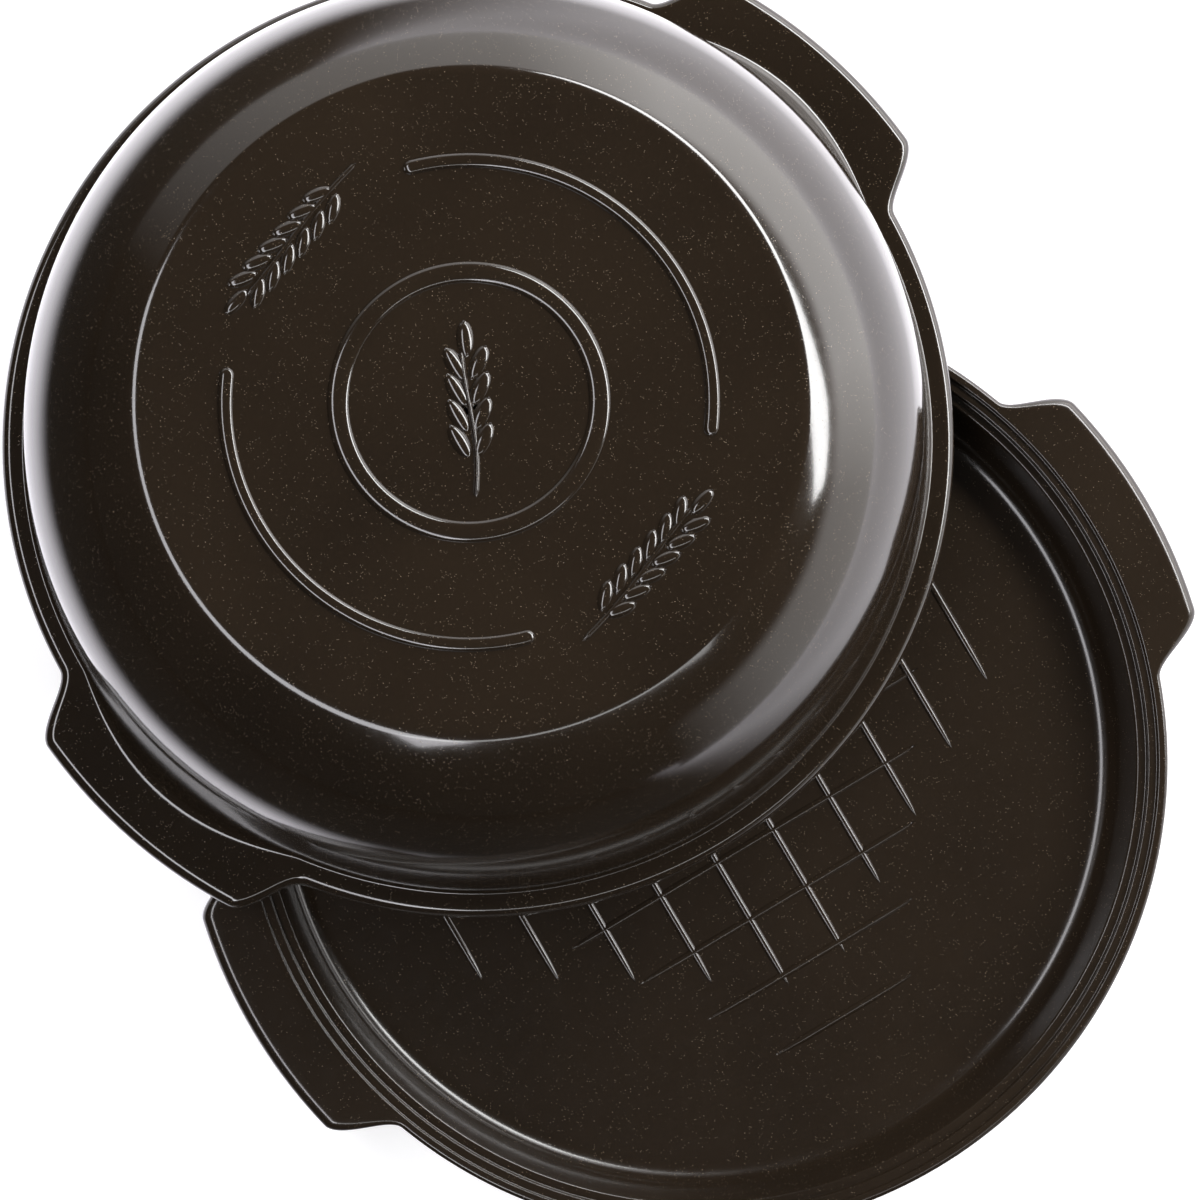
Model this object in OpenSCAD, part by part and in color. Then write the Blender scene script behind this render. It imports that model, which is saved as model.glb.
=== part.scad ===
// Bread cloche: a low round dish with two grips, and a tall domed cover that lifts off.
// The cover stands tipped against the dish, with its near edge on the rim and its far edge down.

/* [Dish] */
// Outer radius of the dish at its rim
rim_r = 147.5; // [122:0.5:180]
// Height of the dish from the table to its rim
dish_h = 30; // [25:0.5:40]
// Thickness of the floor, foot ring included
floor_t = 8; // [6:0.5:10]
// Width of the flat land on the rim
land_w = 3.2; // [2.5:0.1:4]
// Drop of the upper ledge below the rim
upper_drop = 1.5; // [1:0.1:2]
// Width of the upper ledge
upper_w = 3.1; // [2.5:0.1:4]
// Drop of the seat ledge below the rim
seat_drop = 4; // [3:0.1:5]
// Width of the seat ledge
seat_w = 3.5; // [2.5:0.1:4]
// How far the inner wall leans in from the seat ledge to the floor
wall_lean = 7.2; // [4:0.1:10]
// Height of the thick band below the rim
band_h = 10; // [8:0.5:12]
// Inner radius of the foot ring
foot_in_r = 100; // [80:1:102]
// Width of the foot ring
foot_w = 12; // [8:0.5:14]

/* [Cover] */
// Height of the closed cloche
closed_h = 140; // [116:1:170]
// Thickness of the cover's wall and crown
wall_t = 7; // [5:0.5:8]
// Thickness of the cover's flange
flange_t = 9; // [7:0.5:11]
// How far the flange stands past the dish's rim
overhang = 1.5; // [0:0.1:2]
// Draft angle of the cover's wall
draft = 2.5; // [1:0.1:5]
// Radius of the shoulder in the cover's section
shoulder_r = 66; // [54:1:72]
// Slope of the shoulder where it meets the crown
crown_slope = 28; // [24:1:32]
// Rounding between the shoulder and the flat crown
crown_round = 8; // [6:0.5:12]

/* [Grips] */
// How far a grip stands out from the rim
grip_out = 16; // [10:0.5:20]
// Half of the angle that a grip spans
grip_half = 15.2; // [12:0.1:18]
// Thickness of the dish's grips
grip_t = 10; // [8:0.5:12]
// Rounding of a grip's corners
grip_corner = 5; // [3:0.5:6]
// How far the foot of the wall swells out above each of the cover's grips
swell = 3.4; // [2:0.1:4]
// Height of that swelling
swell_h = 36; // [24:1:40]

/* [Ornament] */
// Distance between the ridges on the floor
ridge_step = 20.6; // [16:0.1:22]
// Width of a ridge
ridge_w = 2.7; // [1.5:0.1:4]
// Height of a ridge and of the ornament on the crown
relief_h = 0.8; // [0.4:0.1:1.2]
// Outer radius of the two long arcs on the crown
arc_r = 77; // [60:0.5:80]
// Width of those arcs
arc_w = 4.7; // [3:0.1:6]
// Angle that each arc spans
arc_span = 114; // [90:1:120]
// Outer radius of the middle ring
ring_r = 43.5; // [36:0.5:46]
// Width of the middle ring
ring_w = 6.9; // [4:0.1:8]

/* [Fit and pose] */
// Clearance between the cover's lip and the ledges of the dish
lip_gap = 0.3; // [0.2:0.05:0.6]
// Distance between the centres of the dish and the tipped cover, seen from above
lean_d = 122.2; // [110:0.5:135]
// Direction in which the cover lies, from the line through the dish's grips
lean_az = 94.25; // [85:0.25:105]
// Turn of the cover about its own axis
cover_spin = 17.95; // [0:0.05:40]

/* [Hidden] */
$fn = 180;

// Dish, worked out from the rim inwards
rim_round = 1.5;
land_r = rim_r - land_w;
ledge_r = land_r - upper_w;
mouth_r = ledge_r - seat_w;
floor_r = mouth_r - wall_lean;
floor_round = 6;
foot_recess = 1.5;
foot_out_r = foot_in_r + foot_w;
band_step = 2.5;
base_r = rim_r - 16.5;
base_z = 3;

// Cover, worked out from the dish that it seats on
dome_h = closed_h - dish_h;
flange_r = rim_r + overhang;
flange_round = 3;
wall_base_r = rim_r - 5.9;
lip_out_r = ledge_r - lip_gap;
lip_in_r = wall_base_r - wall_t;
lip_d = seat_drop - lip_gap;
edge_a = 90 - crown_slope;
edge_z = dome_h - crown_round + crown_round * sin(edge_a);
shoulder_z = edge_z - shoulder_r * sin(edge_a);
wall_top_z = shoulder_z + shoulder_r * sin(draft);
wall_top_r = wall_base_r - (wall_top_z - flange_t) * tan(draft);
shoulder_x = wall_top_r - shoulder_r * cos(draft);
crown_r = shoulder_x + shoulder_r * cos(edge_a) - crown_round * cos(edge_a);
inner_r = shoulder_r - wall_t;
inner_a = asin((dome_h - wall_t - shoulder_z) / inner_r);

// Swelling above a grip: a cone off the axis that meets the wall at the grip's ends
swell_end = grip_half + 2.3;
swell_reach = wall_base_r + swell;
swell_x = (swell_reach * swell_reach - wall_base_r * wall_base_r)
    / (2 * (swell_reach - wall_base_r * cos(swell_end)));
swell_r = swell_reach - swell_x;
swell_taper = swell + swell_h * tan(draft) - 0.4;

// Tipped pose: the cover's lip lies on the rim at two points and on the table at one
contact_r = rim_r - rim_round;
rest_gap = 0.3;
contact_y = (contact_r * contact_r - lip_in_r * lip_in_r + lean_d * lean_d) / (2 * lean_d);
function lean_after(steps) = steps == 0 ? 10
    : atan((dish_h + rest_gap) / (lean_d + lip_out_r * cos(lean_after(steps - 1)) - contact_y));
lean = lean_after(8);
cover_z = lip_out_r * sin(lean) + lip_d * cos(lean);

// Ornament
ridge_lines = 5;
sprig_grains = 5;
grain_l = 9;
grain_w = 4.2;

// Points of an arc about a centre, from one angle to another
function arc_points(centre, r, from, to, steps) = [
    for (i = [0:steps])
        let (a = from + (to - from) * i / steps)
        [centre[0] + r * cos(a), centre[1] + r * sin(a)]
];

// Plate of one grip: an outer arc with rounded corners, narrowing a little towards its end
module grip_plate(outer_r, inner_r, thick) {
    corner_r = outer_r - grip_corner;
    corner_a = grip_half - asin(grip_corner / corner_r);
    root = [inner_r * cos(grip_half + 3), inner_r * sin(grip_half + 3)];
    low = [corner_r * cos(corner_a), -corner_r * sin(corner_a)];
    high = [low[0], -low[1]];
    linear_extrude(height = thick)
        difference() {
            polygon(concat(
                [[root[0], -root[1]]],
                arc_points(low, grip_corner, -90, -corner_a, 6),
                arc_points([0, 0], outer_r, -corner_a + 0.5, corner_a - 0.5, 24),
                arc_points(high, grip_corner, corner_a, 90, 6),
                [root]
            ));
            circle(r = inner_r);
        }
}

// Both grips, opposite each other on the X axis
module grip_pair(outer_r, inner_r, thick) {
    for (a = [0, 180])
        rotate([0, 0, a])
            grip_plate(outer_r, inner_r, thick);
}

// Low ridges on the floor, in two crossing families that shorten towards the wall
module floor_ridges() {
    for (turn = [0, 90])
        rotate([0, 0, turn])
            for (side = [-1, 1])
                for (i = [0:ridge_lines - 1]) {
                    reach = ridge_step * (4 - 0.62 * (i + 0.5));
                    translate([-reach, side * ridge_step * (i + 0.5) - ridge_w / 2, floor_t - 1])
                        cube([2 * reach, ridge_w, relief_h + 1]);
                }
}

// Dish: foot ring, sloping wall, stepped rim, ridged floor and two grips
module dish() {
    color([0.20, 0.17, 0.14]) {
        rotate_extrude()
            polygon(concat(
                [
                    [0, foot_recess],
                    [foot_in_r - foot_recess, foot_recess],
                    [foot_in_r, 0],
                    [foot_out_r, 0],
                    [base_r, base_z],
                    [rim_r - band_step, dish_h - band_h - band_step],
                    [rim_r, dish_h - band_h]
                ],
                arc_points([rim_r - rim_round, dish_h - rim_round], rim_round, 0, 90, 6),
                [
                    [land_r, dish_h],
                    [land_r, dish_h - upper_drop],
                    [ledge_r, dish_h - upper_drop],
                    [ledge_r, dish_h - seat_drop],
                    [mouth_r, dish_h - seat_drop],
                    [floor_r + wall_lean * 0.2, floor_t + floor_round * 0.6]
                ],
                [
                    [floor_r - floor_round * 0.2, floor_t + floor_round * 0.15],
                    [floor_r - floor_round, floor_t],
                    [0, floor_t]
                ]
            ));
        translate([0, 0, dish_h - grip_t])
            grip_pair(rim_r + grip_out, rim_r - land_w / 2, grip_t);
        floor_ridges();
    }
}

// Solid outer form of the cover, lip and flange included
module cover_form() {
    rotate_extrude()
        polygon(concat(
            [[0, -lip_d], [lip_out_r, -lip_d], [lip_out_r, 0], [flange_r, 0]],
            arc_points([flange_r - flange_round, flange_t - flange_round], flange_round, 0, 90, 6),
            [[wall_base_r, flange_t]],
            arc_points([shoulder_x, shoulder_z], shoulder_r, draft, edge_a, 24),
            arc_points([crown_r, dome_h - crown_round], crown_round, edge_a + 4, 90, 6),
            [[0, dome_h]]
        ));
}

// Hollow of the cover, open below
module cover_hollow() {
    rotate_extrude()
        polygon(concat(
            [[0, -lip_d - 1], [lip_in_r, -lip_d - 1], [lip_in_r, flange_t]],
            arc_points([shoulder_x, shoulder_z], inner_r, draft, inner_a, 24),
            [[0, dome_h - wall_t]]
        ));
}

// Swelling at the foot of the wall above a grip
module swelling() {
    translate([swell_x, 0, flange_t - 1])
        cylinder(h = swell_h + 1, r1 = swell_r, r2 = swell_r - swell_taper);
}

// One pointed grain, lying along X
module grain() {
    flank_r = (grain_l * grain_l + grain_w * grain_w) / (4 * grain_w);
    linear_extrude(height = relief_h + 1)
        intersection() {
            translate([0, flank_r - grain_w / 2])
                circle(r = flank_r, $fn = 90);
            translate([0, grain_w / 2 - flank_r])
                circle(r = flank_r, $fn = 90);
        }
}

// Ear of wheat along X, with grains in pairs and one at the tip
module wheat_ear(grains) {
    pair_step = grain_l * 0.72;
    for (i = [0:grains - 1])
        for (side = [-1, 1])
            translate([pair_step * (i - grains / 2), side * grain_w * 0.72, 0])
                rotate([0, 0, side * 28])
                    grain();
    translate([pair_step * (grains / 2 + 0.35), 0, 0])
        grain();
}

// Raised ornament of the crown: two arcs, a ring and three ears of wheat
module crown_relief() {
    translate([0, 0, dome_h - 1]) {
        for (a = [0, 180])
            rotate([0, 0, a - arc_span / 2])
                rotate_extrude(angle = arc_span)
                    translate([arc_r - arc_w, 0])
                        square([arc_w, relief_h + 1]);
        rotate_extrude()
            translate([ring_r - ring_w, 0])
                square([ring_w, relief_h + 1]);
        for (a = [90, 270])
            rotate([0, 0, a])
                translate([arc_r - arc_w / 2, 0, 0])
                    rotate([0, 0, 90])
                        wheat_ear(sprig_grains);
        rotate([0, 0, 45])
            wheat_ear(sprig_grains);
    }
}

// Cover in its own place: underside of the flange on the plane z = 0
module cover() {
    difference() {
        union() {
            cover_form();
            for (a = [0, 180])
                rotate([0, 0, a])
                    swelling();
            grip_pair(flange_r + grip_out, wall_base_r + 1, flange_t);
        }
        cover_hollow();
    }
    crown_relief();
}

// Cover tipped against the dish
module dome() {
    color([0.18, 0.15, 0.13])
        translate([lean_d * cos(lean_az), lean_d * sin(lean_az), cover_z])
            rotate(a = lean, v = [-sin(lean_az), cos(lean_az), 0])
                rotate([0, 0, cover_spin])
                    cover();
}

dish();
dome();
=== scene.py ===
"""Bread cloche: glazed surfaces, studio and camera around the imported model.

Lengths in the classes are millimetres on the object and become metres in the meshes.
"""

import logging
import math
from dataclasses import dataclass, field
from enum import Enum

import bpy
import numpy as np
from mathutils import Matrix, Vector


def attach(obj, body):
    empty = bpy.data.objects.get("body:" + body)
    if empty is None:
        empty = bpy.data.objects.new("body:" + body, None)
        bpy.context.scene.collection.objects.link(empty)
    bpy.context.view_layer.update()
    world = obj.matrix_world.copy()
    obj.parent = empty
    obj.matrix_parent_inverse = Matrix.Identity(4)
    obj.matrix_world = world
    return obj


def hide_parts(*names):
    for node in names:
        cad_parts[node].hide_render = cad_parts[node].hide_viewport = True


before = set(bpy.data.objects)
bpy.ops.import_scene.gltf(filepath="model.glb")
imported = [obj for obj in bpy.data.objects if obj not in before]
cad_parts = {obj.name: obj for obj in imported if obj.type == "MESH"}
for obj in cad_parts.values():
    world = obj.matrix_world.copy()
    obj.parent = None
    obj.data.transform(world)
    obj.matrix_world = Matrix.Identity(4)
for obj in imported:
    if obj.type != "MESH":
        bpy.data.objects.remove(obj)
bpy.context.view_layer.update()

MM = 0.001
LOG = logging.getLogger("cloche")
Color = tuple[float, float, float, float]
Bend = tuple[float, float, float]
BLACK: Color = (0.0, 0.0, 0.0, 1.0)
WHITE: Color = (1.0, 1.0, 1.0, 1.0)


class Slot(Enum):
    """The record's material slots."""

    DISH = "dish_glaze"
    DOME = "dome_glaze"


def smooth(x: np.ndarray) -> np.ndarray:
    """Cubic step from 0 to 1: 3x^2 - 2x^3 on x held between 0 and 1."""
    x = np.clip(x, 0.0, 1.0)
    return x * x * (3.0 - 2.0 * x)


def arc(x: float, z: float, r: float, start: float, end: float, steps: int) -> np.ndarray:
    """Points of a circular arc in a section: (x + r cos a, z + r sin a) for a from start to end.

    Args:
        x: distance of the centre from the axis.
        z: height of the centre.
        r: radius.
        start: first angle in degrees.
        end: last angle in degrees.
        steps: number of spans.

    Returns:
        An array of (radius, height) rows.
    """
    a = np.radians(np.linspace(start, end, steps + 1))
    return np.column_stack([x + r * np.cos(a), z + r * np.sin(a)])


def oriented(verts: np.ndarray, faces: np.ndarray) -> np.ndarray:
    """Faces turned outwards: the order is reversed where the signed volume is negative.

    Args:
        verts: (n, 3) points.
        faces: (m, 4) indices; a triangle repeats its last index.

    Returns:
        The faces, reversed as a whole if they pointed inwards.
    """
    a, b, c, d = (verts[faces[:, i]] for i in range(4))
    volume = np.einsum("ij,ij->i", a, np.cross(b, c)).sum()
    volume += np.einsum("ij,ij->i", a, np.cross(c, d)).sum()
    return faces if volume > 0 else faces[:, ::-1]


def grid_faces(rows: int, columns: int, wrap_rows: bool = False) -> np.ndarray:
    """Quads between neighbouring rows of a grid whose columns close on themselves.

    Args:
        rows: number of rows.
        columns: number of points in a row.
        wrap_rows: whether the last row joins the first.

    Returns:
        (m, 4) indices, row by row.
    """
    i = np.arange(rows if wrap_rows else rows - 1)[:, None]
    j = np.arange(columns)[None, :]
    here, there = i * columns, ((i + 1) % rows) * columns
    k = (j + 1) % columns
    return np.stack([here + j, here + k, there + k, there + j], axis=-1).reshape(-1, 4)


def fan_faces(first: int, columns: int, pole: int) -> np.ndarray:
    """Triangles from one row of a grid to a pole, as quads with a repeated index."""
    j = np.arange(columns)
    tip = np.full(columns, pole)
    return np.column_stack([first + (j + 1) % columns, first + j, tip, tip])


def mesh_object(name: str, verts: np.ndarray, faces: np.ndarray) -> bpy.types.Object:
    """Mesh object at the origin, smooth shaded, from metres and quads with repeated indices.

    Args:
        name: name of the piece.
        verts: (n, 3) points in metres.
        faces: (m, 4) indices.

    Returns:
        The new object, linked to the scene.
    """
    faces = oriented(verts, faces)
    polygons = [tuple(dict.fromkeys(f)) for f in faces.tolist()]
    mesh = bpy.data.meshes.new(name)
    mesh.from_pydata(verts.tolist(), [], polygons)
    mesh.polygons.foreach_set("use_smooth", np.ones(len(polygons), dtype=bool))
    mesh.update()
    piece = bpy.data.objects.new(name, mesh)
    bpy.context.scene.collection.objects.link(piece)
    return piece


def outline(radius: np.ndarray | float, theta: np.ndarray) -> np.ndarray:
    """Points (r cos a, r sin a) at each angle, for one radius or one per angle."""
    return np.column_stack([radius * np.cos(theta), radius * np.sin(theta)])


@dataclass(frozen=True)
class Grips:
    """Two grips on the X axis, as a radius that changes with the angle round the axis.

    Angles are in degrees. A grip is full up to its corner and gone at its notch.
    """

    reach: float = 16.0
    corner: float = 13.2
    notch: float = 20.0
    coarse: float = 1.5
    fine: float = 0.3
    margin: float = 2.0

    def angles(self) -> np.ndarray:
        """Angles of the grid's columns, closer together at the flanks of the grips."""
        whole = np.arange(0.0, 360.0, self.coarse)
        flank = np.arange(self.corner - self.margin, self.notch + self.margin, self.fine)
        flanks = [base + side * flank for base in (0.0, 180.0) for side in (-1.0, 1.0)]
        return np.radians(np.unique(np.round(np.concatenate([whole, *flanks]) % 360.0, 3)))

    def off_axis(self, theta: np.ndarray) -> np.ndarray:
        """Degrees between each angle and the nearer end of the X axis."""
        return np.degrees(np.abs((theta + math.pi / 2) % math.pi - math.pi / 2))

    def share(self, theta: np.ndarray) -> np.ndarray:
        """1 on a grip and 0 on the rim, with a cubic step across each flank."""
        return smooth((self.notch - self.off_axis(theta)) / (self.notch - self.corner))

    def edge(self, theta: np.ndarray, rim: float) -> tuple[np.ndarray, np.ndarray]:
        """Outline of rim and grips, and its outward normals.

        The outline is R(a) (cos a, sin a) with R = rim + reach * share(a). Its normal is
        (R cos a + R' sin a, R sin a - R' cos a), made one unit long.

        Args:
            theta: angles of the columns.
            rim: radius between the grips.

        Returns:
            (n, 2) points and (n, 2) normals.
        """
        r = rim + self.reach * self.share(theta)
        wide = np.concatenate([theta[-1:] - 2 * math.pi, theta, theta[:1] + 2 * math.pi])
        slope = np.gradient(np.concatenate([r[-1:], r, r[:1]]), wide)[1:-1]
        c, s = np.cos(theta), np.sin(theta)
        normal = np.column_stack([r * c + slope * s, r * s - slope * c])
        normal /= np.linalg.norm(normal, axis=1, keepdims=True)
        return outline(r, theta), normal


class RowStack:
    """Rows of a closed surface round an axis, collected from one pole to the other."""

    def __init__(self, theta: np.ndarray, first_pole: float) -> None:
        """Starts at a pole of the given height."""
        self.theta = theta
        self.first_pole = first_pole
        self.rows: list[np.ndarray] = []

    def flat(self, points: np.ndarray, z: np.ndarray | float) -> None:
        """Adds a row of (x, y) points at a height."""
        height = np.broadcast_to(z, self.theta.shape)
        self.rows.append(np.column_stack([points, height]))

    def ring(self, radius: np.ndarray | float, z: np.ndarray | float) -> None:
        """Adds a row of the given radius and height, each one value or one per column."""
        self.flat(outline(np.broadcast_to(radius, self.theta.shape), self.theta), z)

    def profile(self, points: np.ndarray) -> None:
        """Adds one plain ring for each (radius, height) of a section."""
        for r, z in points:
            self.ring(r, z)

    def level(self, first: float, last: float, count: int, z: float) -> None:
        """Adds rings from one radius to another at one height."""
        for r in np.linspace(first, last, count):
            self.ring(r, z)

    def blend(self, start: np.ndarray, end: np.ndarray, shares: np.ndarray, z: float) -> None:
        """Adds rows between two outlines, at shares of the way and at one height."""
        for t in shares:
            self.flat(start * (1 - t) + end * t, z)

    def lower_edge(
        self, edge: np.ndarray, normal: np.ndarray, r: float, z: float, first: float, count: int
    ) -> None:
        """Rounds a lower edge, moved in by r (1 - sin a) and up by r (1 - cos a).

        Args:
            edge: (n, 2) outline.
            normal: (n, 2) outward normals of the outline.
            r: radius of the rounding.
            z: height of the lower face.
            first: first a in degrees; the last is 90.
            count: number of rows.
        """
        for a in np.radians(np.linspace(first, 90.0, count)):
            self.flat(edge - normal * r * (1 - math.sin(a)), z + r * (1 - math.cos(a)))

    def upper_edge(self, edge: np.ndarray, normal: np.ndarray, r: np.ndarray, z: float, count: int) -> None:
        """Rounds an upper edge, moved in by r (1 - cos a) and down by r (1 - sin a).

        Args:
            edge: (n, 2) outline.
            normal: (n, 2) outward normals of the outline.
            r: radius of the rounding at each column.
            z: height of the upper face.
            count: number of rows, for a from 0 to 90 degrees.
        """
        for a in np.radians(np.linspace(0.0, 90.0, count)):
            inset = (r * (1 - math.cos(a)))[:, None]
            self.flat(edge - normal * inset, z - r * (1 - math.sin(a)))

    def surface(self, last_pole: float) -> tuple[np.ndarray, np.ndarray]:
        """Closes the surface at a pole of the given height.

        Args:
            last_pole: height of the second pole.

        Returns:
            (n, 3) points in millimetres and (m, 4) faces.
        """
        n, count = len(self.theta), len(self.rows)
        ends = np.array([[0.0, 0.0, self.first_pole], [0.0, 0.0, last_pole]])
        verts = np.concatenate([*self.rows, ends])
        faces = [grid_faces(count, n), fan_faces(0, n, count * n)[:, [1, 0, 2, 3]]]
        faces.append(fan_faces((count - 1) * n, n, count * n + 1))
        return verts, np.concatenate(faces)


@dataclass(frozen=True)
class Ridge:
    """Low rounded ridge along a path on a level surface.

    Across the path its height is h (1 - |u|^p) - foot for u from -1 to 1, so its foot lies a
    little below the surface, and its flat base lies deeper and a little narrower. Towards an
    open end both width and height fall as a quarter circle to a small least share.
    """

    width: float
    height: float
    taper: float
    power: float = 2.6
    foot: float = 0.12
    across: int = 11
    least: float = 0.02
    base_width: float = 0.9
    base_depth: float = 2.5

    def along(self, path: np.ndarray, z: float, closed: bool = False) -> tuple[np.ndarray, np.ndarray]:
        """Closed mesh of the ridge.

        Args:
            path: (n, 2) points of the centre line.
            z: height of the surface.
            closed: whether the path joins its own start.

        Returns:
            (m, 3) points in millimetres and (k, 4) faces.
        """
        tangent = np.gradient(path, axis=0)
        if closed:
            tangent = np.roll(path, -1, axis=0) - np.roll(path, 1, axis=0)
        tangent /= np.linalg.norm(tangent, axis=1, keepdims=True)
        side = np.column_stack([-tangent[:, 1], tangent[:, 0]])
        swell = np.ones(len(path))
        if not closed:
            run = np.concatenate([[0.0], np.cumsum(np.linalg.norm(np.diff(path, axis=0), axis=1))])
            near = np.clip(np.minimum(run, run[-1] - run) / self.taper, 0.0, 1.0)
            quarter = np.sqrt(np.clip(1.0 - (1.0 - near) ** 2, 0.0, 1.0))
            swell = quarter * (1.0 - self.least) + self.least
        u = np.linspace(-1.0, 1.0, self.across)
        top = self.height * (1.0 - np.abs(u) ** self.power) - self.foot
        u = np.concatenate([u, [self.base_width, -self.base_width]])
        top = np.concatenate([top, [-self.base_depth * self.foot] * 2])
        lift = np.where(top > 0, top * swell[:, None], top)
        spread = (u * self.width / 2)[None, :, None] * (swell[:, None, None] * side[:, None, :])
        flat = path[:, None, :] + spread
        verts = np.concatenate([flat, (z + lift)[:, :, None]], axis=2).reshape(-1, 3)
        faces = grid_faces(len(path), len(u), closed)
        if not closed:
            ends = verts.reshape(len(path), len(u), 3)[[0, -1]].mean(axis=1)
            count = len(verts)
            verts = np.concatenate([verts, ends])
            first = fan_faces(0, len(u), count)[:, [1, 0, 2, 3]]
            last = fan_faces(count - len(u), len(u), count + 1)
            faces = np.concatenate([faces, first, last])
        return verts, oriented(verts, faces)


def joined(parts: list[tuple[np.ndarray, np.ndarray]]) -> tuple[np.ndarray, np.ndarray]:
    """Several meshes as one, each keeping its own points."""
    offsets = np.cumsum([0] + [len(v) for v, _ in parts[:-1]])
    verts = np.concatenate([v for v, _ in parts])
    return verts, np.concatenate([f + o for (_, f), o in zip(parts, offsets)])


class Nodes:
    """Short forms for building a shader's nodes."""

    def __init__(self, tree: bpy.types.NodeTree) -> None:
        """Works on one node tree."""
        self.tree = tree

    def add(self, kind: str, **settings: object) -> bpy.types.Node:
        """New node of a kind, with its attributes set."""
        node = self.tree.nodes.new(kind)
        for key, value in settings.items():
            setattr(node, key, value)
        return node

    def link(self, source: bpy.types.NodeSocket, target: bpy.types.NodeSocket) -> None:
        """Joins an output to an input."""
        self.tree.links.new(source, target)

    def feed(self, target: bpy.types.NodeSocket, value: object) -> None:
        """Joins a socket to an input, or sets the input to a plain value."""
        if isinstance(value, bpy.types.NodeSocket):
            self.link(value, target)
        else:
            target.default_value = value

    def place(self) -> bpy.types.NodeSocket:
        """Position in the object's own coordinates, in metres."""
        return self.add("ShaderNodeTexCoord").outputs["Object"]

    def math(self, operation: str, a: object, b: object = 0.0) -> bpy.types.NodeSocket:
        """Result of one arithmetic step on sockets or numbers."""
        node = self.add("ShaderNodeMath", operation=operation)
        self.feed(node.inputs[0], a)
        self.feed(node.inputs[1], b)
        return node.outputs[0]

    def dot(self, where: bpy.types.NodeSocket, way: Vector) -> bpy.types.NodeSocket:
        """How far a position lies along a direction."""
        node = self.add("ShaderNodeVectorMath", operation="DOT_PRODUCT")
        self.link(where, node.inputs[0])
        node.inputs[1].default_value = way
        return node.outputs["Value"]

    def away(self, where: bpy.types.NodeSocket, centre: tuple[float, float]) -> bpy.types.NodeSocket:
        """Position measured from a point on the floor."""
        node = self.add("ShaderNodeVectorMath", operation="SUBTRACT")
        self.link(where, node.inputs[0])
        node.inputs[1].default_value = (*centre, 0.0)
        return node.outputs["Vector"]

    def length(self, where: bpy.types.NodeSocket) -> bpy.types.NodeSocket:
        """Distance of a position from its origin."""
        node = self.add("ShaderNodeVectorMath", operation="LENGTH")
        self.link(where, node.inputs[0])
        return node.outputs["Value"]

    def span(
        self,
        source: bpy.types.NodeSocket,
        ends: tuple[float, float],
        values: tuple[float, float] = (0.0, 1.0),
        kind: str = "SMOOTHSTEP",
    ) -> bpy.types.NodeSocket:
        """Value that goes from the first of values to the second as the source crosses the ends."""
        node = self.add("ShaderNodeMapRange", interpolation_type=kind)
        self.link(source, node.inputs["Value"])
        node.inputs["From Min"].default_value, node.inputs["From Max"].default_value = ends
        node.inputs["To Min"].default_value, node.inputs["To Max"].default_value = values
        return node.outputs["Result"]

    def noise(self, where: bpy.types.NodeSocket, scale: float, detail: float = 2.0) -> bpy.types.NodeSocket:
        """Noise of a scale per metre at a position."""
        node = self.add("ShaderNodeTexNoise")
        node.inputs["Scale"].default_value = scale
        node.inputs["Detail"].default_value = detail
        self.link(where, node.inputs["Vector"])
        return node.outputs["Fac"]

    def mix(self, share: object, a: object, b: object) -> bpy.types.NodeSocket:
        """Colour between a and b."""
        node = self.add("ShaderNodeMix", data_type="RGBA")
        for socket, value in ((node.inputs[0], share), (node.inputs[6], a), (node.inputs[7], b)):
            self.feed(socket, value)
        return node.outputs[2]

    def bump(self, height: bpy.types.NodeSocket, strength: float, depth: float) -> bpy.types.NodeSocket:
        """Normal of a surface with small heights, of a depth in metres."""
        node = self.add("ShaderNodeBump")
        node.inputs["Strength"].default_value = strength
        node.inputs["Distance"].default_value = depth
        self.link(height, node.inputs["Height"])
        return node.outputs["Normal"]


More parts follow.
